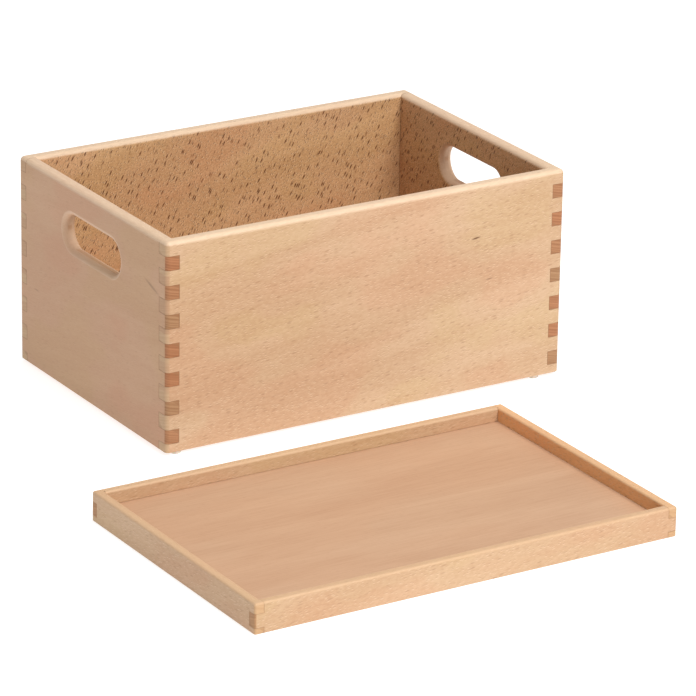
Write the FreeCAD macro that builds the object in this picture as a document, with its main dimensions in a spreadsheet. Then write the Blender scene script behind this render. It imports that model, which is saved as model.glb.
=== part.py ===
import FreeCAD, Part
import math
import os

import Sketcher

# A finger-jointed beech tool box that stands open on four small feet, and its loose tray, which
# covers the same ground as the box and lies on the floor in front of it, further to the left.
#
# Frame: millimetres, +Z up, +X along the long sides, +Y from the front to the back.  The origin
# is on the floor, at the middle of the ground that the box and the tray take up together.

SIZES = [
    ("box_length", 380, "outside length of the box, and of the tray"),
    ("box_width", 250, "outside width of the box, and of the tray"),
    ("box_height", 180, "height of the box's boards, without the feet"),
    ("board", 12, "thickness of the box's boards"),
    ("finger_start", 7.8, "underside of the end boards' lowest finger"),
    ("finger_height", 12.2, "height of one finger"),
    ("finger_pitch", 24.7, "from one finger of a board to its next"),
    ("finger_count", 7, "fingers at each end of an end board"),
    ("rim_radius", 4, "rounding of the box's rim and upright corners"),
    ("sole_radius", 0.8, "rounding of the outer bottom edges of box and tray"),
    ("hole_length", 94, "hand hole, end to end"),
    ("hole_height", 30, "hand hole, top to bottom"),
    ("hole_level", 139.5, "middle of the hand hole above the board's bottom edge"),
    ("hole_radius", 4.5, "rounding of the hand hole's edges"),
    ("base_thickness", 5, "plywood bottom of the box"),
    ("base_level", 9, "underside of the plywood bottom above the board's bottom edge"),
    ("base_groove", 5, "depth of the groove that holds the plywood bottom"),
    ("groove_play", 0.5, "gap between a plywood edge and the end of its groove"),
    ("foot_diameter", 9, "round elastic foot"),
    ("foot_height", 3, "height of a foot"),
    ("foot_radius", 1.4, "rounding of a foot's lower edge"),
    ("foot_from_left", 12, "middle of a left foot from the box's left end"),
    ("foot_from_right", 22, "middle of a right foot from the box's right end"),
    ("foot_from_side", 6, "middle of a foot from the nearest long side"),
    ("tray_height", 25, "height of the tray's rails"),
    ("rail", 8, "thickness of the tray's rails"),
    ("tray_finger_start", 5, "underside of the long rails' finger"),
    ("tray_finger_height", 11.5, "height of the long rails' finger"),
    ("tray_radius", 2, "rounding of the tray's rim and upright corners"),
    ("panel_thickness", 4, "plywood panel of the tray"),
    ("panel_level", 9.4, "underside of the panel above the rail's bottom edge"),
    ("panel_groove", 3.5, "depth of the groove that holds the panel"),
    ("tray_gap", 84, "clear floor between the box's front and the tray"),
    ("tray_shift", 113.8, "how far the tray lies to the left of the box"),
]

# The places of the box and of the tray, worked out so that the origin is in the middle.
BOX_LEFT = "(Sizes.tray_shift - Sizes.box_length) / 2"
BOX_RIGHT = "(Sizes.tray_shift + Sizes.box_length) / 2"
BOX_FRONT = "Sizes.tray_gap / 2"
BOX_BACK = "Sizes.tray_gap / 2 + Sizes.box_width"
TRAY_LEFT = "-(Sizes.tray_shift + Sizes.box_length) / 2"
TRAY_RIGHT = "(Sizes.box_length - Sizes.tray_shift) / 2"
TRAY_FRONT = "-Sizes.tray_gap / 2 - Sizes.box_width"
TRAY_BACK = "-Sizes.tray_gap / 2"

# The two four-sided frames.  fingers_on says which pair of boards carries the fingers; the
# other pair has the sockets.
BOX = {
    "left": BOX_LEFT,
    "right": BOX_RIGHT,
    "front": BOX_FRONT,
    "back": BOX_BACK,
    "level": "Sizes.foot_height",
    "height": "Sizes.box_height",
    "wood": "Sizes.board",
    "radius": "Sizes.rim_radius",
    "fingers_on": "ends",
    "finger_start": "Sizes.finger_start",
    "finger_height": "Sizes.finger_height",
    "finger_pitch": "Sizes.finger_pitch",
    "finger_count": "Sizes.finger_count",
    "groove_level": "Sizes.base_level",
    "groove_height": "Sizes.base_thickness",
    "groove_depth": "Sizes.base_groove",
}
TRAY = {
    "left": TRAY_LEFT,
    "right": TRAY_RIGHT,
    "front": TRAY_FRONT,
    "back": TRAY_BACK,
    "level": "0",
    "height": "Sizes.tray_height",
    "wood": "Sizes.rail",
    "radius": "Sizes.tray_radius",
    "fingers_on": "sides",
    "finger_start": "Sizes.tray_finger_start",
    "finger_height": "Sizes.tray_finger_height",
    "finger_pitch": None,
    "finger_count": None,
    "groove_level": "Sizes.panel_level",
    "groove_height": "Sizes.panel_thickness",
    "groove_depth": "Sizes.panel_groove",
}

CLOSE = 0.01  # two lengths that differ by less than this, in millimetres, are the same


def make_sheet(doc):
    """Write the driving dimensions into the document's spreadsheet."""
    sheet = doc.addObject("Spreadsheet::Sheet", "Sizes")
    for row, (alias, value, meaning) in enumerate(SIZES, 1):
        sheet.set(f"A{row}", meaning)
        sheet.set(f"B{row}", str(value))
        sheet.setAlias(f"B{row}", alias)
    doc.recompute()
    return sheet


def bind(item, settings):
    """Bind properties of one object to expressions."""
    for path, expression in settings.items():
        item.setExpression(path, expression)


def place(item, base_x, base_y, base_z, turn=0):
    """Put an object at a point given by expressions, turned about +Z by some degrees."""
    upright = FreeCAD.Vector(0, 0, 1)
    item.Placement = FreeCAD.Placement(FreeCAD.Vector(), FreeCAD.Rotation(upright, turn))
    bind(item, {
        "Placement.Base.x": base_x,
        "Placement.Base.y": base_y,
        "Placement.Base.z": base_z,
    })


# Sketches and features of a PartDesign body


def origin_feature(body, role):
    """Return the body's own origin plane or axis that has this role."""
    return next(item for item in body.Origin.OriginFeatures if item.Role == role)


def add_sketch(body, name, plane, lift="0"):
    """Add a sketch on one of the body's origin planes, lifted along the plane's normal."""
    sketch = body.newObject("Sketcher::SketchObject", name)
    sketch.AttachmentSupport = (origin_feature(body, plane), "")
    sketch.MapMode = "FlatFace"
    sketch.setExpression("AttachmentOffset.Base.z", lift)
    return sketch


def pin_point(sketch, geometry, point, along_x, along_y):
    """Tie a sketch point to the sketch's origin by two distances, given as expressions."""
    for kind, expression in (("DistanceX", along_x), ("DistanceY", along_y)):
        value = float(sketch.evalExpression(expression))
        row = sketch.addConstraint(Sketcher.Constraint(kind, -1, 1, geometry, point, value))
        sketch.setExpression(f"Constraints[{row}]", expression)


def add_rectangle(sketch, left, bottom, right, top):
    """Draw a rectangle whose two opposite corners follow expressions."""
    low_x, low_y, high_x, high_y = (
        float(sketch.evalExpression(text)) for text in (left, bottom, right, top)
    )
    corners = [
        FreeCAD.Vector(low_x, low_y, 0),
        FreeCAD.Vector(high_x, low_y, 0),
        FreeCAD.Vector(high_x, high_y, 0),
        FreeCAD.Vector(low_x, high_y, 0),
    ]
    first = sketch.GeometryCount
    for start, end in zip(corners, corners[1:] + corners[:1]):
        sketch.addGeometry(Part.LineSegment(start, end), False)
    for side in range(4):
        after = first + (side + 1) % 4
        sketch.addConstraint(Sketcher.Constraint("Coincident", first + side, 2, after, 1))
        direction = "Vertical" if side % 2 else "Horizontal"
        sketch.addConstraint(Sketcher.Constraint(direction, first + side))
    pin_point(sketch, first, 1, left, bottom)
    pin_point(sketch, first + 2, 1, right, top)


def add_slot(sketch, middle_x, middle_y, length, height):
    """Draw a lying slot with half-round ends, its place and size following expressions."""
    radius = float(sketch.evalExpression(f"({height}) / 2"))
    ends = (f"{middle_x} - ({length} - {height}) / 2", f"{middle_x} + ({length} - {height}) / 2")
    left, right = (float(sketch.evalExpression(text)) for text in ends)
    level = float(sketch.evalExpression(middle_y))
    upright, quarter = FreeCAD.Vector(0, 0, 1), math.pi / 2
    left_circle = Part.Circle(FreeCAD.Vector(left, level, 0), upright, radius)
    right_circle = Part.Circle(FreeCAD.Vector(right, level, 0), upright, radius)
    shapes = [
        Part.ArcOfCircle(left_circle, quarter, 3 * quarter),
        Part.LineSegment(
            FreeCAD.Vector(left, level - radius, 0), FreeCAD.Vector(right, level - radius, 0)
        ),
        Part.ArcOfCircle(right_circle, -quarter, quarter),
        Part.LineSegment(
            FreeCAD.Vector(right, level + radius, 0), FreeCAD.Vector(left, level + radius, 0)
        ),
    ]
    sketch.addGeometry(shapes, False)
    for side in range(4):
        sketch.addConstraint(Sketcher.Constraint("Tangent", side, 2, (side + 1) % 4, 1))
    pin_point(sketch, 0, 3, ends[0], middle_y)
    pin_point(sketch, 2, 3, ends[1], middle_y)
    row = sketch.addConstraint(Sketcher.Constraint("Radius", 0, radius))
    sketch.setExpression(f"Constraints[{row}]", f"({height}) / 2")


def extrude(body, kind, name, sketch, length=None, backwards=False):
    """Pad or pocket a sketch by a length; a pocket with no length goes through all."""
    feature = body.newObject(f"PartDesign::{kind}", name)
    feature.Profile = sketch
    feature.Reversed = backwards
    if length is None:
        feature.Type = "ThroughAll"
    else:
        feature.setExpression("Length", length)
    sketch.Visibility = False
    body.Document.recompute()
    return feature


def repeat_upwards(body, feature, pitch, count):
    """Repeat a feature along the body's Z axis."""
    pattern = body.newObject("PartDesign::LinearPattern", f"{feature.Name}_row")
    pattern.Originals = [feature]
    pattern.Direction = (origin_feature(body, "Z_Axis"), [""])
    bind(pattern, {"Length": f"{pitch} * ({count} - 1)", "Occurrences": count})
    body.Tip = pattern
    body.Document.recompute()


def round_edges(body, name, radius, wanted):
    """Fillet the edges of the body's tip that a test picks out."""
    tip = body.Tip
    edges = [f"Edge{row}" for row, edge in enumerate(tip.Shape.Edges, 1) if wanted(edge)]
    fillet = body.newObject("PartDesign::Fillet", name)
    fillet.Base = (tip, edges)
    fillet.setExpression("Radius", radius)
    body.Document.recompute()


def new_body(doc, name):
    """Start an empty PartDesign body with its own label."""
    body = doc.addObject("PartDesign::Body", name)
    body.Label = name
    return body


def lies_between(edge, axis, low, high):
    """Tell whether the whole edge is between two heights along an axis (0 X, 1 Y, 2 Z)."""
    box = edge.BoundBox
    ends = ((box.XMin, box.XMax), (box.YMin, box.YMax), (box.ZMin, box.ZMax))[axis]
    return ends[0] > low - CLOSE and ends[1] < high + CLOSE


# The boards


def make_form(doc, name, frame):
    """Make the rounded, hollow outline that a frame's four boards are cut to.

    The boards are rounded over once they are glued up, so the rounding runs on from one board
    to the next.
    """
    form = new_body(doc, name)
    length = f"{frame['right']} - ({frame['left']})"
    width = f"{frame['back']} - ({frame['front']})"
    wood = frame["wood"]
    outline = add_sketch(form, f"{name}_outline", "XY_Plane")
    add_rectangle(outline, "0", "0", length, width)
    add_rectangle(outline, wood, wood, f"{length} - {wood}", f"{width} - {wood}")
    extrude(form, "Pad", f"{name}_walls", outline, frame["height"])

    bounds = form.Shape.BoundBox
    long_side, short_side, rim = bounds.XLength, bounds.YLength, bounds.ZLength

    def at_outside(edge):
        middle = edge.BoundBox.Center
        nearest = min(middle.x, middle.y, long_side - middle.x, short_side - middle.y)
        return nearest < CLOSE

    def at_rim_or_corner(edge):
        upright = edge.BoundBox.ZLength > CLOSE
        return (upright and at_outside(edge)) or lies_between(edge, 2, rim, rim)

    def at_sole(edge):
        return at_outside(edge) and lies_between(edge, 2, 0, 0)

    round_edges(form, f"{name}_rim", frame["radius"], at_rim_or_corner)
    round_edges(form, f"{name}_sole", "Sizes.sole_radius", at_sole)
    place(form, frame["left"], frame["front"], frame["level"])
    return form


def make_blank(doc, name, frame, run, fingered):
    """Make one square-edged board: length along X, outer face at y = 0, inner face behind it."""
    body = new_body(doc, f"{name}_blank")
    wood, height = frame["wood"], frame["height"]
    start = frame["finger_start"]
    stop = f"{start} + {frame['finger_height']}"
    near_end = ("0", wood)
    far_end = (f"{run} - {wood}", run)
    left, right = (wood, f"{run} - {wood}") if fingered else ("0", run)

    face = add_sketch(body, f"{name}_face", "XZ_Plane")
    add_rectangle(face, left, "0", right, height)
    extrude(body, "Pad", f"{name}_stock", face, wood, backwards=True)

    ends = add_sketch(body, f"{name}_joint", "XZ_Plane")
    for low, high in (near_end, far_end):
        add_rectangle(ends, low, start, high, stop)
    if fingered:
        joint = extrude(body, "Pad", f"{name}_fingers", ends, wood, backwards=True)
    else:
        joint = extrude(body, "Pocket", f"{name}_sockets", ends)
    if frame["finger_count"]:
        repeat_upwards(body, joint, frame["finger_pitch"], frame["finger_count"])
    return body


def cut_groove(body, name, frame, run):
    """Cut the stopped groove for the plywood into a board's inner face."""
    wood, depth, low = frame["wood"], frame["groove_depth"], frame["groove_level"]
    sketch = add_sketch(body, f"{name}_groove_end", "XZ_Plane", f"-{wood}")
    near, far = f"{wood} - {depth}", f"{run} - ({wood} - {depth})"
    add_rectangle(sketch, near, low, far, f"{low} + {frame['groove_height']}")
    extrude(body, "Pocket", f"{name}_groove", sketch, depth, backwards=True)


def cut_hand_hole(body, name):
    """Cut the hand hole through an end board and round its edges on both faces."""
    sketch = add_sketch(body, f"{name}_hole_outline", "XZ_Plane")
    add_slot(
        sketch, "Sizes.box_width / 2", "Sizes.hole_level", "Sizes.hole_length", "Sizes.hole_height"
    )
    extrude(body, "Pocket", f"{name}_hole", sketch)
    sheet = body.Document.Sizes
    half_length, half_height = float(sheet.hole_length) / 2, float(sheet.hole_height) / 2
    middle, level = float(sheet.box_width) / 2, float(sheet.hole_level)

    def around_hole(edge):
        flat = edge.BoundBox.YLength < CLOSE
        beside = lies_between(edge, 0, middle - half_length, middle + half_length)
        beside = beside and lies_between(edge, 2, level - half_height, level + half_height)
        return flat and beside

    round_edges(body, f"{name}_hole_edges", "Sizes.hole_radius", around_hole)


def make_board(doc, name, frame, form, side):
    """Make one board of a frame, in place, cut to the frame's rounded form."""
    corners = {
        "front": (frame["left"], frame["front"], 0),
        "right": (frame["right"], frame["front"], 90),
        "back": (frame["right"], frame["back"], 180),
        "left": (frame["left"], frame["back"], 270),
    }
    along_side = side in ("front", "back")
    run = "Sizes.box_length" if along_side else "Sizes.box_width"
    fingered = frame["fingers_on"] == ("sides" if along_side else "ends")
    blank = make_blank(doc, name, frame, run, fingered)
    cut_groove(blank, name, frame, run)
    if frame is BOX and not along_side:
        cut_hand_hole(blank, name)
    base_x, base_y, turn = corners[side]
    place(blank, base_x, base_y, frame["level"], turn)

    board = doc.addObject("Part::Common", name)
    board.Label = name
    board.Base = blank
    board.Tool = form
    return board


def make_plywood(doc, name, frame):
    """Make the plywood panel that sits in the grooves of a frame's four boards."""
    panel = doc.addObject("Part::Box", name)
    panel.Label = name
    inset = f"({frame['wood']} - {frame['groove_depth']} + Sizes.groove_play)"
    bind(panel, {
        "Length": f"Sizes.box_length - 2 * {inset}",
        "Width": f"Sizes.box_width - 2 * {inset}",
        "Height": frame["groove_height"],
    })
    place(
        panel,
        f"{frame['left']} + {inset}",
        f"{frame['front']} + {inset}",
        f"{frame['level']} + {frame['groove_level']}",
    )
    return panel


def make_foot(doc, name, middle_x, middle_y):
    """Make one round elastic foot, stuck under the edge of a board."""
    foot = new_body(doc, name)
    sketch = add_sketch(foot, f"{name}_round", "XY_Plane")
    radius = float(doc.Sizes.foot_diameter) / 2
    upright = FreeCAD.Vector(0, 0, 1)
    sketch.addGeometry(Part.Circle(FreeCAD.Vector(), upright, radius), False)
    sketch.addConstraint(Sketcher.Constraint("Coincident", 0, 3, -1, 1))
    row = sketch.addConstraint(Sketcher.Constraint("Radius", 0, radius))
    sketch.setExpression(f"Constraints[{row}]", "Sizes.foot_diameter / 2")
    extrude(foot, "Pad", f"{name}_block", sketch, "Sizes.foot_height")
    round_edges(
        foot, f"{name}_edge", "Sizes.foot_radius", lambda edge: lies_between(edge, 2, 0, 0)
    )
    place(foot, middle_x, middle_y, "0")
    return foot


# The whole set


def make_box(doc):
    """Make the box: four boards, the plywood bottom and four feet."""
    form = make_form(doc, "box_form", BOX)
    pieces = [
        make_board(doc, "front_board", BOX, form, "front"),
        make_board(doc, "back_board", BOX, form, "back"),
        make_board(doc, "left_end_board", BOX, form, "left"),
        make_board(doc, "right_end_board", BOX, form, "right"),
        make_plywood(doc, "bottom_panel", BOX),
    ]
    lengthways = {
        "left": f"{BOX_LEFT} + Sizes.foot_from_left",
        "right": f"{BOX_RIGHT} - Sizes.foot_from_right",
    }
    crossways = {
        "front": f"{BOX_FRONT} + Sizes.foot_from_side",
        "back": f"{BOX_BACK} - Sizes.foot_from_side",
    }
    for depth_name, middle_y in crossways.items():
        for end_name, middle_x in lengthways.items():
            name = f"foot_{depth_name}_{end_name}"
            pieces.append(make_foot(doc, name, middle_x, middle_y))
    return pieces


def make_tray(doc):
    """Make the tray: four rails and the plywood panel."""
    form = make_form(doc, "tray_form", TRAY)
    return [
        make_board(doc, "tray_front_rail", TRAY, form, "front"),
        make_board(doc, "tray_back_rail", TRAY, form, "back"),
        make_board(doc, "tray_left_rail", TRAY, form, "left"),
        make_board(doc, "tray_right_rail", TRAY, form, "right"),
        make_plywood(doc, "tray_panel", TRAY),
    ]


def check(doc, pieces):
    """Stop if any object failed to compute or any piece isn't one sound solid."""
    failed = [
        item.Name
        for item in doc.Objects
        if "Invalid" in item.State or "Error" in item.State
    ]
    if failed:
        raise RuntimeError(f"objects that failed to compute: {failed}")
    for piece in pieces:
        shape = piece.Shape
        if shape.isNull() or not shape.isValid() or len(shape.Solids) != 1:
            raise RuntimeError(f"{piece.Label} is not one valid solid")


def export(pieces):
    """Write one STEP file per piece, named after its label."""
    os.makedirs("parts", exist_ok=True)
    for piece in pieces:
        piece.Shape.exportStep(f"parts/{piece.Label}.step")
        print(f"{piece.Label}: {piece.Shape.Volume / 1000:.2f} cubic centimetres")


def main():
    doc = FreeCAD.newDocument("tool_box_with_tray")
    make_sheet(doc)
    pieces = make_box(doc) + make_tray(doc)
    doc.recompute()
    check(doc, pieces)
    export(pieces)


main()
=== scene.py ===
import math

import bmesh
import bpy
from mathutils import Matrix, Vector, noise


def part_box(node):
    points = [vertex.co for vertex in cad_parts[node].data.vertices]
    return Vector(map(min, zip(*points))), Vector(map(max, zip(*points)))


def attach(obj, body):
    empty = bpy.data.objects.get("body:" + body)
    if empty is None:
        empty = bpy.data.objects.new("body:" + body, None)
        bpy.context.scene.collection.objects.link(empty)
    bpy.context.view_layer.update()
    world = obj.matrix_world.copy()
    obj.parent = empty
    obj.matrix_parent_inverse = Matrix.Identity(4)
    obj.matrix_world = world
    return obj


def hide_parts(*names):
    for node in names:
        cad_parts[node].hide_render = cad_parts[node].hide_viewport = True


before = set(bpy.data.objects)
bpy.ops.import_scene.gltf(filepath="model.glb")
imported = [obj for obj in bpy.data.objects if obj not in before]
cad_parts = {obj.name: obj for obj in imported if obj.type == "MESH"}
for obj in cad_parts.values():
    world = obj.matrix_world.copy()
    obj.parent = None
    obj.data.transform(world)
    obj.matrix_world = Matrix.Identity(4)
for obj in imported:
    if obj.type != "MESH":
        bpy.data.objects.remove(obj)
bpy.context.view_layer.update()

# A finger-jointed beech tool box on four small elastic feet, and its loose tray on the floor in
# front of it.  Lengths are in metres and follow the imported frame: +X along the long sides, +Y
# from the tray to the box, +Z up.

MM = 0.001

# The axis along which the grain of each board runs.
BOX_BOARDS = {
    "front_board": "X",
    "back_board": "X",
    "left_end_board": "Y",
    "right_end_board": "Y",
}
TRAY_RAILS = {
    "tray_front_rail": "X",
    "tray_back_rail": "X",
    "tray_left_rail": "Y",
    "tray_right_rail": "Y",
}
FEET = ("foot_front_left", "foot_front_right", "foot_back_left", "foot_back_right")


# Camera, lights and floor

CAMERA_PLACE = (-1.8918, -3.0639, 1.4557)
CAMERA_AZIMUTH = -31.846  # degrees, 0 looks along +Y
CAMERA_ELEVATION = 20.854  # degrees above the horizon
CAMERA_ROLL = 0.980  # degrees, the picture leans clockwise
FOCAL_SHARE = 6.8767  # focal length over the width of the picture
SENSOR_WIDTH = 36.0  # millimetres
CLIP_NEAR, CLIP_FAR = 0.05, 40

WHITE = (1, 1, 1, 1)
ROOM_STRENGTH = 0.40

# Each light's place, the point it faces, its side, its power in watts and its colour.
KEY_LIGHT = ((0.5, -2.65, 2.6), (0.05, 0.1, 0.1), 1.4, 110, (1.0, 0.985, 0.96))
OVERHEAD_LIGHT = ((0.1, 0.1, 2.8), (0.0, 0.0, 0.1), 1.6, 26, (1.0, 1.0, 1.0))

FLOOR_HALF = 6.0
FLOOR_GREY = (0.5, 0.5, 0.5, 1)
FLOOR_ROUGHNESS = 0.9
FLOOR_GLOSS = 0.1
FLOOR_GLOW = 0.75  # keeps the shadows on the floor faint


def make_camera():
    """Set up the long lens that looks down on the box's front left corner."""
    data = bpy.data.cameras.new("camera")
    data.sensor_fit = "HORIZONTAL"
    data.sensor_width = SENSOR_WIDTH
    data.lens = FOCAL_SHARE * SENSOR_WIDTH
    data.clip_start, data.clip_end = CLIP_NEAR, CLIP_FAR
    camera = bpy.data.objects.new("camera", data)
    bpy.context.scene.collection.objects.link(camera)
    turn = Matrix.Rotation(math.radians(CAMERA_AZIMUTH), 4, "Z")
    tilt = Matrix.Rotation(math.radians(90 - CAMERA_ELEVATION), 4, "X")
    roll = Matrix.Rotation(math.radians(CAMERA_ROLL), 4, "Z")
    camera.matrix_world = Matrix.Translation(CAMERA_PLACE) @ turn @ tilt @ roll
    bpy.context.scene.camera = camera


def area_light(name, place, target, side, power, light_colour):
    """Hang a square soft box at a place, facing a target."""
    data = bpy.data.lights.new(name, "AREA")
    data.shape = "SQUARE"
    data.size = side
    data.energy = power
    data.color = light_colour
    light = bpy.data.objects.new(name, data)
    bpy.context.scene.collection.objects.link(light)
    direction = Vector(target) - Vector(place)
    light.matrix_world = (
        Matrix.Translation(place) @ direction.to_track_quat("-Z", "Y").to_matrix().to_4x4()
    )


def make_studio():
    """Light the set with a white room and two soft boxes, on a plain pale floor."""
    world = bpy.data.worlds.new("white_room")
    world.use_nodes = True
    background = world.node_tree.nodes["Background"]
    background.inputs["Color"].default_value = WHITE
    background.inputs["Strength"].default_value = ROOM_STRENGTH
    bpy.context.scene.world = world
    bpy.context.scene.view_settings.view_transform = "Standard"

    area_light("key", *KEY_LIGHT)
    area_light("overhead", *OVERHEAD_LIGHT)

    half = FLOOR_HALF
    floor_mesh = bpy.data.meshes.new("floor")
    corners = [(-half, -half, 0), (half, -half, 0), (half, half, 0), (-half, half, 0)]
    floor_mesh.from_pydata(corners, [], [(0, 1, 2, 3)])
    floor = bpy.data.objects.new("floor", floor_mesh)
    bpy.context.scene.collection.objects.link(floor)
    pale = Graph("pale_floor")
    pale.surface(Roughness=FLOOR_ROUGHNESS, **{
        "Base Color": FLOOR_GREY, "Specular IOR Level": FLOOR_GLOSS,
        "Emission Color": WHITE, "Emission Strength": FLOOR_GLOW,
    })
    floor_mesh.materials.append(pale.material)


# Materials

# How often a pattern repeats per millimetre, along the grain and in the two directions across it.
BAND_SCALE = (0.004, 0.03, 0.03)
FIBRE_SCALE = (0.05, 0.9, 0.9)
PATCH_SCALE = (0.009, 0.016, 0.016)
PORE_SCALE = (0.9, 1.5, 1.5)
FIGURE_SCALE = (0.003, 0.022, 0.022)
CLOUD_SCALE = (0.006, 0.011, 0.011)
VENEER_FIBRE_SCALE = (0.03, 0.8, 0.8)
VENEER_MARK_SCALE = (0.17, 1.0, 1.0)
GROWTH_SCALE = 0.55  # growth lines on a board's end

# How far one step of the seed moves a board through the patterns, in millimetres.
SEED_STRIDE = (731.0, 173.0, 59.0)

# Factors on red, green and blue for the broad patches of slightly different wood.
PINK_TINT = (1.0, 0.945, 0.94)
YELLOW_TINT = (0.985, 1.0, 0.94)
VENEER_TINT = (1.0, 0.975, 0.96)

DASH_REACH = 0.42  # where a dash has faded out, as a share of its cell
VENEER_DASH_REACH = 0.40
DASH_CORE = 0.3  # share of a dash's reach that has its full strength
DASH_FADE = 0.35  # range of the random numbers over which dashes fade in
DASH_GAPS = 0.22  # share of the small dashes' cells that have none
PORE_GAPS = 0.2
VENEER_DASH_GAPS = 0.5
SHINE_OFFSET = 0.55  # from a dark dash to the pale one beside it, in cells

END_FADE = (16, 14)  # millimetres from a board's end over which the end pattern fades in
CREST_HIGHLIGHT_FADE = (5, 4)  # millimetres below the rim over which the crest's painted highlight and wear fade in
LAYER = 1.3  # thickness of one layer of the plywood in millimetres

WOOD_GLOSS = 0.35
WOOD_RELIEF = 0.14 * MM
VENEER_RELIEF = 0.06 * MM
RUBBER_RELIEF = 0.05 * MM
RUBBER_CLOUDS, RUBBER_DUST = 260, 1500  # patterns per metre


class Graph:
    """One material's node tree, with short calls for the nodes used here."""

    def __init__(self, name):
        self.material = bpy.data.materials.new(name)
        self.material.use_nodes = True
        self.tree = self.material.node_tree
        self.tree.nodes.clear()

    def node(self, kind, inputs=(), **settings):
        """Add a node, set its properties, and link or set its inputs by name or number."""
        node = self.tree.nodes.new(kind)
        for name, value in settings.items():
            setattr(node, name, value)
        for name, value in dict(inputs).items():
            self.connect(value, node.inputs[name])
        return node

    def connect(self, value, socket):
        """Link a socket to another socket, or set its own value."""
        if isinstance(value, bpy.types.NodeSocket):
            self.tree.links.new(value, socket)
        else:
            socket.default_value = value

    def math(self, operation, *values):
        """Return the result of a maths node."""
        return self.node("ShaderNodeMath", enumerate(values), operation=operation).outputs[0]

    def total(self, *values):
        """Add up any number of values."""
        result = values[0]
        for value in values[1:]:
            result = self.math("ADD", result, value)
        return result

    def scaled(self, vector, factors):
        """Multiply a vector by three factors."""
        inputs = {0: vector, 1: factors}
        return self.node("ShaderNodeVectorMath", inputs, operation="MULTIPLY").outputs[0]

    def moved(self, vector, offset):
        """Add two vectors."""
        inputs = {0: vector, 1: offset}
        return self.node("ShaderNodeVectorMath", inputs, operation="ADD").outputs[0]

    def turned(self, vector, degrees, axis="Y_AXIS"):
        """Turn a vector about an axis through the origin."""
        inputs = {"Vector": vector, "Angle": math.radians(degrees)}
        return self.node("ShaderNodeVectorRotate", inputs, rotation_type=axis).outputs[0]

    def parts(self, vector):
        """Split a vector into its three numbers."""
        return self.node("ShaderNodeSeparateXYZ", {"Vector": vector}).outputs

    def step(self, value, low, high, soft_low=0.0, soft_high=1.0):
        """Map a value smoothly from one range to another, clamped."""
        inputs = {
            "Value": value, "From Min": low, "From Max": high, "To Min": soft_low, "To Max": soft_high
        }
        node = self.node("ShaderNodeMapRange", inputs, interpolation_type="SMOOTHSTEP")
        return node.outputs["Result"]

    def noise(self, vector, detail=2.0, roughness=0.5, distortion=0.0):
        """Return a noise texture's value at a vector that is already scaled."""
        inputs = {
            "Vector": vector, "Scale": 1.0, "Detail": detail, "Roughness": roughness,
            "Distortion": distortion,
        }
        return self.node("ShaderNodeTexNoise", inputs).outputs["Fac"]

    def line_noise(self, value, detail=2.0, roughness=0.5):
        """Return noise along a single number."""
        inputs = {"W": value, "Scale": 1.0, "Detail": detail, "Roughness": roughness}
        return self.node("ShaderNodeTexNoise", inputs, noise_dimensions="1D").outputs["Fac"]

    def dashes(self, vector, reach, share):
        """Return a mask of separate marks, one in some of the cells of a random pattern.

        reach is how far a mark fades out from its middle, and share how many cells have none.
        """
        cells = self.node("ShaderNodeTexVoronoi", {"Vector": vector, "Scale": 1.0})
        random = self.node("ShaderNodeSeparateColor", {"Color": cells.outputs["Color"]}).outputs[0]
        mark = self.step(cells.outputs["Distance"], reach, reach * DASH_CORE)
        return self.math("MULTIPLY", mark, self.step(random, share, share + DASH_FADE))

    def blend(self, share, first, second, mode="MIX"):
        """Mix two colours."""
        node = self.node("ShaderNodeMix", data_type="RGBA", blend_type=mode)
        for row, value in ((0, share), (6, first), (7, second)):
            self.connect(value, node.inputs[row])
        return node.outputs[2]

    def tint(self, share, base, factors):
        """Multiply a colour by three factors, by as much as share says."""
        return self.blend(share, base, (*factors, 1), "MULTIPLY")

    def bump(self, height, distance, strength=1.0):
        """Return a normal that follows a height, its full range being a distance in metres."""
        inputs = {"Height": height, "Distance": distance, "Strength": strength}
        return self.node("ShaderNodeBump", inputs).outputs["Normal"]

    def surface(self, **inputs):
        """Finish with a principled surface."""
        shader = self.node("ShaderNodeBsdfPrincipled", inputs)
        output = self.node("ShaderNodeOutputMaterial")
        self.tree.links.new(shader.outputs[0], output.inputs["Surface"])


def colour(red, green, blue):
    """Turn screen values from 0 to 255 into a linear colour with full opacity."""
    linear = [((value / 255 + 0.055) / 1.055) ** 2.4 for value in (red, green, blue)]
    return (*linear, 1.0)


def board_space(graph, node, grain):
    """Return a vector in millimetres from a board's middle, with the grain along X."""
    low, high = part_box(node)
    middle = (low + high) / 2
    place = graph.node("ShaderNodeTexCoord").outputs["Object"]
    place = graph.scaled(graph.moved(place, tuple(-middle)), (1 / MM, 1 / MM, 1 / MM))
    return graph.turned(place, 90, "Z_AXIS") if grain == "Y" else place


def seeded(graph, place, seed):
    """Move a board's place in the patterns, so that no two boards look alike."""
    return graph.moved(place, tuple(seed * stride for stride in SEED_STRIDE))


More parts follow.
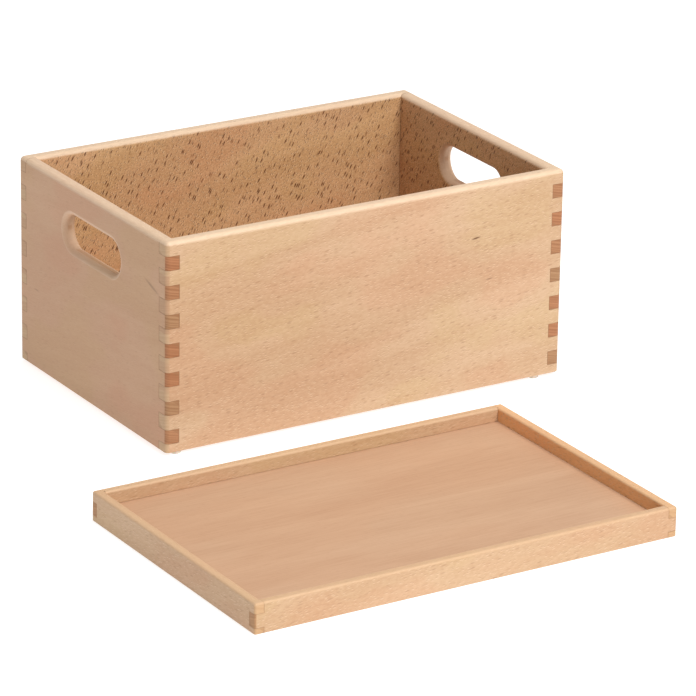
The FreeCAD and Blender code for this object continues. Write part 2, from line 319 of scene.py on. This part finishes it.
def face_pattern(graph, point, look):
    """Return a face's colour, and the fibres, dark marks and pale marks that also shape it."""
    leaning = graph.turned(point, look["lean"])
    speck = look["speck"]
    bands = graph.noise(graph.scaled(leaning, BAND_SCALE), 3.0, 0.5, 0.3)
    fibres = graph.noise(graph.scaled(leaning, FIBRE_SCALE), 3.0, 0.62)
    mottle = graph.noise(graph.scaled(leaning, (speck[0], speck[1], speck[1])), 3.0, 0.65, 0.6)
    patches = graph.noise(graph.scaled(leaning, PATCH_SCALE), 2.0)
    tone = graph.total(
        graph.step(bands, 0.36, 0.64, 0.0, look["band"]),
        graph.step(fibres, 0.36, 0.68, 0.0, look["fibre"]),
        graph.step(mottle, 0.36, 0.64, 0.0, look["mottle"]),
    )
    face = graph.blend(tone, look["pale"], look["dark"])
    face = graph.tint(graph.step(patches, 0.52, 0.62), face, PINK_TINT)
    face = graph.tint(graph.step(patches, 0.48, 0.38), face, YELLOW_TINT)

    slanted = graph.turned(point, look["slant"])
    small, big = look["small"], look["big"]
    small_scale, big_scale = (small[0], small[1], small[1]), (big[0], big[1], big[1])
    fine = graph.dashes(graph.scaled(slanted, small_scale), DASH_REACH, DASH_GAPS)
    coarse = graph.dashes(graph.scaled(slanted, big_scale), DASH_REACH, look["rare"])
    beside = graph.moved(slanted, (0, 0, SHINE_OFFSET / small[1]))
    shine = graph.dashes(graph.scaled(beside, small_scale), DASH_REACH, DASH_GAPS)
    marks = graph.math("MAXIMUM", graph.math("MULTIPLY", fine, look["fine"]), coarse)
    face = graph.blend(graph.math("MULTIPLY", shine, look["shine"]), face, look["light"])
    face = graph.blend(graph.math("MULTIPLY", marks, look["marks"]), face, look["fleck"])
    return face, fibres, marks, shine


def scarred(graph, face, local, scars, scar_colour):
    """Draw a board's marks of use over its face colour."""
    for middle, length, thickness, slope, strength in scars:
        spot = graph.turned(graph.moved(local, (-middle[0], 0, -middle[1])), slope)
        spot = graph.scaled(spot, (2 / length, 0, 2 / thickness))
        distance = graph.node("ShaderNodeVectorMath", {0: spot}, operation="LENGTH")
        scar = graph.step(distance.outputs["Value"], 1.0, 0.2, 0.0, strength)
        face = graph.blend(scar, face, scar_colour)
    return face


def end_pattern(graph, local, point, seed, look):
    """Return the colour of a board's ends: growth lines, pores, and a tone for each finger."""
    _, across, up = graph.parts(local)
    level = graph.math("MULTIPLY_ADD", across, look["tilt"], up)
    growth = graph.line_noise(graph.math("MULTIPLY", level, GROWTH_SCALE), 2.0, 0.5)
    lines = graph.step(growth, 0.38, 0.62)
    pores = graph.dashes(graph.scaled(point, PORE_SCALE), DASH_REACH, PORE_GAPS)
    finger = graph.math("FLOOR", graph.math("MULTIPLY_ADD", up, 1 / look["pitch"], seed + 0.5))
    own = graph.node("ShaderNodeTexWhiteNoise", {"W": finger}, noise_dimensions="1D")
    end = graph.blend(graph.step(own.outputs["Value"], 0.0, 1.0), look["end"], look["end_warm"])
    end = graph.tint(graph.math("MULTIPLY", lines, 0.8), end, look["end_lines"])
    return graph.tint(graph.math("MULTIPLY", pores, 0.5), end, look["end_lines"])


def beech(node, grain, seed, look, inside=False, scars=()):
    """Make one board's solid beech, for its faces outside or inside.

    look holds the colours.  The faces have soft bands and fine streaks along the grain, and the
    short dark dashes of beech; the ends show growth lines, each finger in a tone of its own.
    """
    graph = Graph(f"beech_{'inside_' if inside else ''}{node}")
    local = board_space(graph, node, grain)
    point = seeded(graph, local, seed)
    face, fibres, marks, shine = face_pattern(graph, point, look)
    face = scarred(graph, face, local, scars, look["scar"])
    end = end_pattern(graph, local, point, seed, look)

    # The end pattern is on the faces that look along the grain, near the board's two ends.
    grain_axis = 0 if grain == "X" else 1
    low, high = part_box(node)
    half = (high - low)[grain_axis] / 2 / MM
    top = (high - low).z / 2 / MM
    along, _, up = graph.parts(local)
    normal = graph.parts(graph.node("ShaderNodeTexCoord").outputs["Normal"])
    is_end = graph.step(graph.math("ABSOLUTE", normal[grain_axis]), 0.15, 0.40)
    at_end = graph.step(graph.math("ABSOLUTE", along), half - END_FADE[0], half - END_FADE[1])
    base = graph.blend(graph.math("MULTIPLY", is_end, at_end), face, end)

    # The thin dark line where two boards meet, and the paler roundings: partly handling wear, partly a
    # painted highlight where the surface faces up near the rim and along the hand holes.
    edge = graph.node("ShaderNodeAttribute", attribute_name="edge").outputs["Fac"]
    seam = graph.step(edge, 0.88, 1.0, 0.0, look["seam"])
    base = graph.blend(seam, base, look["fleck"])
    rounding = graph.node("ShaderNodeAttribute", attribute_name="rounding").outputs["Fac"]
    upward = graph.step(normal[2], 0.10, 0.45)
    near_top = graph.step(up, top - CREST_HIGHLIGHT_FADE[0], top - CREST_HIGHLIGHT_FADE[1])
    # Paler where the surface faces up near the rim: a painted highlight, with a little sanding wear.
    crest_highlight = graph.math("MULTIPLY", upward, near_top)
    # The hand holes' roundings are paler too: a painted highlight.
    hole_edge_highlight = graph.math("MULTIPLY", rounding, graph.math("MULTIPLY_ADD", at_end, -0.5, 0.5))
    rubbed_and_highlight = graph.math("MAXIMUM", crest_highlight, hole_edge_highlight)
    rubbed_and_highlight = graph.math("MULTIPLY", rubbed_and_highlight, graph.step(fibres, 0.3, 0.7, 0.75, 0.55))
    base = graph.blend(rubbed_and_highlight, base, look["rubbed_and_highlight"])

    relief = graph.total(
        graph.math("MULTIPLY", marks, -0.8), graph.math("MULTIPLY", fibres, 0.9),
        graph.math("MULTIPLY", shine, 0.25),
    )
    roughness = graph.total(
        graph.math("MULTIPLY_ADD", fibres, 0.16, 0.44), graph.math("MULTIPLY", is_end, 0.12),
        graph.math("MULTIPLY", rounding, -0.06),
    )
    graph.surface(
        Roughness=roughness,
        Normal=graph.bump(relief, WOOD_RELIEF, look["relief"]),
        **{"Base Color": base, "Specular IOR Level": WOOD_GLOSS},
    )
    return graph.material


def plywood(node, grain, seed, look):
    """Make a sanded veneer with broad, quiet figure, and thin layers on the edges."""
    graph = Graph(f"veneer_{node}")
    point = seeded(graph, board_space(graph, node, grain), seed)
    figure = graph.noise(graph.scaled(point, FIGURE_SCALE), 4.0, 0.52, 0.8)
    clouds = graph.noise(graph.scaled(point, CLOUD_SCALE), 2.0)
    fibres = graph.noise(graph.scaled(point, VENEER_FIBRE_SCALE), 3.0, 0.6)
    tone = graph.total(
        graph.step(figure, 0.34, 0.66, 0.0, 0.4), graph.step(fibres, 0.4, 0.66, 0.0, 0.3)
    )
    face = graph.blend(tone, look["pale"], look["dark"])
    face = graph.tint(graph.step(clouds, 0.42, 0.62), face, VENEER_TINT)
    marks = graph.dashes(
        graph.scaled(point, VENEER_MARK_SCALE), VENEER_DASH_REACH, VENEER_DASH_GAPS
    )
    face = graph.blend(graph.math("MULTIPLY", marks, 0.28), face, look["fleck"])

    layer = graph.math("PINGPONG", graph.parts(point)[2], LAYER)
    edge_face = graph.blend(graph.step(layer, 0.45, 0.85), look["glue"], look["dark"])
    facing = graph.parts(graph.node("ShaderNodeTexCoord").outputs["Normal"])[2]
    is_edge = graph.step(graph.math("ABSOLUTE", facing), 0.6, 0.3)
    height = graph.math("MULTIPLY_ADD", marks, -0.4, fibres)
    graph.surface(
        Roughness=graph.math("MULTIPLY_ADD", fibres, 0.12, 0.42),
        Normal=graph.bump(height, VENEER_RELIEF, 0.4),
        **{
            "Base Color": graph.blend(is_edge, face, edge_face),
            "Specular IOR Level": WOOD_GLOSS,
        },
    )
    return graph.material


def foot_rubber():
    """Make the soft, slightly cloudy plastic of the feet."""
    graph = Graph("foot_rubber")
    place = graph.node("ShaderNodeTexCoord").outputs["Object"]
    cloud = graph.noise(graph.scaled(place, (RUBBER_CLOUDS,) * 3), 3.0)
    dust = graph.noise(graph.scaled(place, (RUBBER_DUST,) * 3), 2.0)
    pale, dark = colour(214, 202, 186), colour(192, 178, 160)
    base = graph.blend(graph.step(cloud, 0.35, 0.65), pale, dark)
    graph.surface(
        Roughness=graph.math("MULTIPLY_ADD", dust, 0.2, 0.35),
        Normal=graph.bump(dust, RUBBER_RELIEF, 0.3),
        **{"Base Color": base, "Subsurface Weight": 0.25, "Subsurface Scale": 0.003},
    )
    return graph.material


# What each kind of board looks like:
#   pale, dark            the two ends of a face's tone
#   light, fleck          the pale and the dark marks, fleck also the seams
#   rubbed, scar          the paler crest and hole roundings, partly wear and partly painted highlight; and the marks of use
#   end, end_warm         the two ends of the tone of a board's end, which differs by finger
#   end_lines             factors on red, green and blue where growth lines and pores are
#   fine, marks, shine    how strongly the small dashes, all dark marks and the pale marks show
#   seam, relief          how strongly the seams and the bumps show
#   band, fibre, mottle   how much broad bands, fine streaks and speckles darken a face
#   lean, slant           slopes of the grain and of the marks, in degrees
#   rare                  share of the big marks' cells that have none
#   speck, small, big     counts per millimetre, along and across, of speckles, small and big marks
#   tilt, pitch           slope of the growth lines, and millimetres from one finger to the next
BOX_LOOK = {
    "pale": colour(204, 172, 140), "dark": colour(186, 148, 113), "light": colour(220, 190, 158),
    "fleck": colour(150, 108, 74), "rubbed_and_highlight": colour(226, 200, 172), "scar": colour(104, 68, 38),
    "end": colour(170, 130, 94), "end_warm": colour(174, 119, 82), "end_lines": (0.70, 0.62, 0.55),
    "fine": 0.75, "marks": 0.38, "shine": 0.55, "seam": 0.6, "relief": 0.7,
    "band": 0.4, "fibre": 0.15, "mottle": 0.35, "lean": 7, "slant": 9, "rare": 0.5,
    "speck": (0.22, 0.55), "small": (0.22, 0.8), "big": (0.12, 0.5), "tilt": 0.25, "pitch": 24.7,
}
LONG_BOARD_LOOK = {
    **BOX_LOOK, "end": colour(197, 164, 130), "end_warm": colour(190, 152, 120),
    "end_lines": (0.92, 0.89, 0.85), "seam": 0.3,
}
# The end boards are darker than the long ones: partly their own tone, partly painted shade for the shade
# on the end faces.
SHADED_END_BOARD_LOOK = {
    **BOX_LOOK, "pale": colour(199, 159, 126), "dark": colour(186, 142, 109), "marks": 0.16,
    "shine": 0.1, "fibre": 0.08, "mottle": 0.2, "relief": 0.2,
}
INSIDE_LOOK = {
    **BOX_LOOK, "pale": colour(218, 176, 134), "dark": colour(182, 138, 96),
    "light": colour(240, 206, 164), "fleck": colour(92, 50, 24), "fine": 0.8, "marks": 0.95, "shine": 0.7,
    "relief": 0.9, "band": 0.35, "fibre": 0.1, "mottle": 0.6, "lean": 12, "slant": 62, "rare": 0.32,
    "speck": (0.5, 0.9), "small": (0.35, 0.9), "big": (0.12, 0.46),
}
RAIL_LOOK = {
    **BOX_LOOK, "pale": colour(205, 172, 138), "dark": colour(188, 149, 113),
    "rubbed_and_highlight": colour(206, 170, 134), "end": colour(188, 146, 106), "end_warm": colour(166, 116, 80),
    "end_lines": (0.82, 0.75, 0.68), "marks": 0.32, "relief": 0.5, "pitch": 25.0, "seam": 0.35,
}
SHORT_RAIL_LOOK = {
    **RAIL_LOOK, "end": colour(200, 162, 122), "end_warm": colour(194, 152, 112),
    "end_lines": (0.9, 0.86, 0.82),
}
WARM_RAIL_LOOK = {**SHORT_RAIL_LOOK, "pale": colour(238, 186, 134), "dark": colour(222, 164, 110)}
TRAY_VENEER = {
    "pale": colour(197, 160, 130), "dark": colour(182, 142, 112), "fleck": colour(168, 126, 94),
    "glue": colour(96, 66, 44),
}
BOX_VENEER = {**TRAY_VENEER, "pale": colour(206, 172, 138), "dark": colour(188, 150, 112)}

# Marks of use: middle (along the grain and up, from the board's middle, in millimetres), length,
# thickness, slope in degrees and strength.
SCARS = {
    "front_board": (((103, 44), 12, 2.2, 8, 1.0), ((117, 6), 10, 1.6, 5, 0.6)),
    "left_end_board": (((101, 46), 32, 4.0, -18, 0.4), ((-95, -20), 12, 1.8, 0, 0.3)),
    "right_end_board": (((60, -40), 16, 1.6, 10, 0.35),),
    "back_board": (((-80, 20), 14, 1.8, 0, 0.35),),
}


# Pieces

SEAM = 0.25 * MM  # the small bevel where two boards meet
GRID = 5 * MM  # spacing of the vertices on the boards' faces
UNEVEN = 0.05 * MM  # how deep the sanding goes at most
UNEVEN_SCALE = 28.0  # waves of the sanding per metre
SAME_PLACE = 1e-6  # vertices closer than this are one
FLAT_ANGLE = math.radians(0.3)  # faces that differ by less become one
SHARP_ANGLE = math.radians(40)  # edges sharper than this get the small bevel
SEAM_ANGLE = math.radians(20)  # edges sharper than this show as seams after the bevel
STRAIGHT = 0.985  # a normal with no larger part along any axis is on a rounding
FACING = 0.9  # a normal with a larger part along an axis looks that way
LEVEL_SLACK = 1 * MM

# The seeds of the patterns, where each group of boards starts.
BOARD_SEED, INSIDE_SEED_STEP, RAIL_SEED = 1, 10, 21
TRAY_PANEL_SEED, BOTTOM_PANEL_SEED = 31, 32


def sharp_edges(mesh):
    """Return the edges where two faces meet at a clear angle."""
    return [
        edge for edge in mesh.edges
        if len(edge.link_faces) == 2 and edge.calc_face_angle(0.0) > SHARP_ANGLE
    ]


def slice_mesh(mesh, step):
    """Cut every face along a regular grid of planes."""
    low = Vector(min(vertex.co[axis] for vertex in mesh.verts) for axis in range(3))
    high = Vector(max(vertex.co[axis] for vertex in mesh.verts) for axis in range(3))
    for axis in range(3):
        count = max(1, round((high[axis] - low[axis]) / step))
        direction = Vector([float(axis == other) for other in range(3)])
        for row in range(1, count):
            place = low + direction * (high[axis] - low[axis]) * row / count
            everything = mesh.verts[:] + mesh.edges[:] + mesh.faces[:]
            bmesh.ops.bisect_plane(
                mesh, geom=everything, dist=SAME_PLACE, plane_co=place, plane_no=direction
            )


def mark_edges(mesh):
    """Note on each vertex whether it is on a seam, and whether it is on a rounding."""
    seam = mesh.verts.layers.float.new("edge")
    rounding = mesh.verts.layers.float.new("rounding")
    mesh.normal_update()
    for edge in mesh.edges:
        if len(edge.link_faces) == 2 and edge.calc_face_angle(0.0) > SEAM_ANGLE:
            for vertex in edge.verts:
                vertex[seam] = 1.0
    for face in mesh.faces:
        if max(abs(value) for value in face.normal) < STRAIGHT:
            for vertex in face.verts:
                if vertex[seam] < 0.5:
                    vertex[rounding] = 1.0


def refine(node, body, materials, inside=None):
    """Make the finished piece that stands for one wooden CAD node.

    It takes the node's own solid, eases every sharp edge, divides the faces into a grid, and
    sands them a little uneven.  Where inside tells that a face looks into the box, the face gets
    the second material.
    """
    mesh = bmesh.new()
    mesh.from_mesh(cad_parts[node].data)
    bmesh.ops.remove_doubles(mesh, verts=mesh.verts, dist=SAME_PLACE)
    bmesh.ops.dissolve_limit(
        mesh, angle_limit=FLAT_ANGLE, verts=mesh.verts, edges=mesh.edges
    )
    bmesh.ops.bevel(
        mesh, geom=sharp_edges(mesh), offset=SEAM, offset_type="OFFSET", segments=2,
        profile=0.5, affect="EDGES", clamp_overlap=True,
    )
    slice_mesh(mesh, GRID)
    mark_edges(mesh)
    for vertex in mesh.verts:
        uneven = 0.5 + 0.5 * noise.noise(vertex.co * UNEVEN_SCALE)
        vertex.co -= vertex.normal * uneven * UNEVEN
    for face in mesh.faces:
        face.smooth = True
        if inside and inside(face):
            face.material_index = 1

    data = bpy.data.meshes.new(f"{node}_finished")
    mesh.to_mesh(data)
    mesh.free()
    for material in materials:
        data.materials.append(material)
    piece = bpy.data.objects.new(f"{node}_finished", data)
    bpy.context.scene.collection.objects.link(piece)
    weighted = piece.modifiers.new("even_shading", "WEIGHTED_NORMAL")
    weighted.weight = 100
    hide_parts(node)
    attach(piece, body)


def looks_inward(node, centre):
    """Return a test that tells which faces of a node look towards a centre line."""
    low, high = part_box(node)
    middle = (low + high) / 2
    towards = Vector((centre.x - middle.x, centre.y - middle.y, 0))
    axis = 0 if abs(high.x - low.x) < abs(high.y - low.y) else 1
    sign = math.copysign(1.0, towards[axis])
    face_level = high[axis] if sign > 0 else low[axis]

    def test(face):
        straight = face.normal[axis] * sign > FACING
        return straight and abs(face.calc_center_median()[axis] - face_level) < LEVEL_SLACK

    return test


def make_wooden_pieces():
    """Finish the boards of the box, the rails of the tray and the two plywood panels."""
    box_centre = sum((Vector(corner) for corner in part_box("bottom_panel")), Vector()) / 2
    for seed, (node, grain) in enumerate(BOX_BOARDS.items(), BOARD_SEED):
        look = LONG_BOARD_LOOK if grain == "X" else SHADED_END_BOARD_LOOK
        outer = beech(node, grain, seed, look, scars=SCARS[node])
        inner = beech(node, grain, seed + INSIDE_SEED_STEP, INSIDE_LOOK, inside=True)
        refine(node, "box", [outer, inner], looks_inward(node, box_centre))
    for seed, (node, grain) in enumerate(TRAY_RAILS.items(), RAIL_SEED):
        if node == "tray_right_rail":
            look = WARM_RAIL_LOOK
        else:
            look = RAIL_LOOK if grain == "X" else SHORT_RAIL_LOOK
        refine(node, "tray", [beech(node, grain, seed, look)])
    tray_veneer = plywood("tray_panel", "X", TRAY_PANEL_SEED, TRAY_VENEER)
    refine("tray_panel", "tray", [tray_veneer])
    box_veneer = plywood("bottom_panel", "X", BOTTOM_PANEL_SEED, BOX_VENEER)
    refine("bottom_panel", "box", [box_veneer])


def make_feet():
    """Give the four feet, whose CAD shape is kept, their material."""
    rubber = foot_rubber()
    for name in FEET:
        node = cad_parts[name]
        node.data.materials.clear()
        node.data.materials.append(rubber)


make_camera()
make_studio()
make_wooden_pieces()
make_feet()
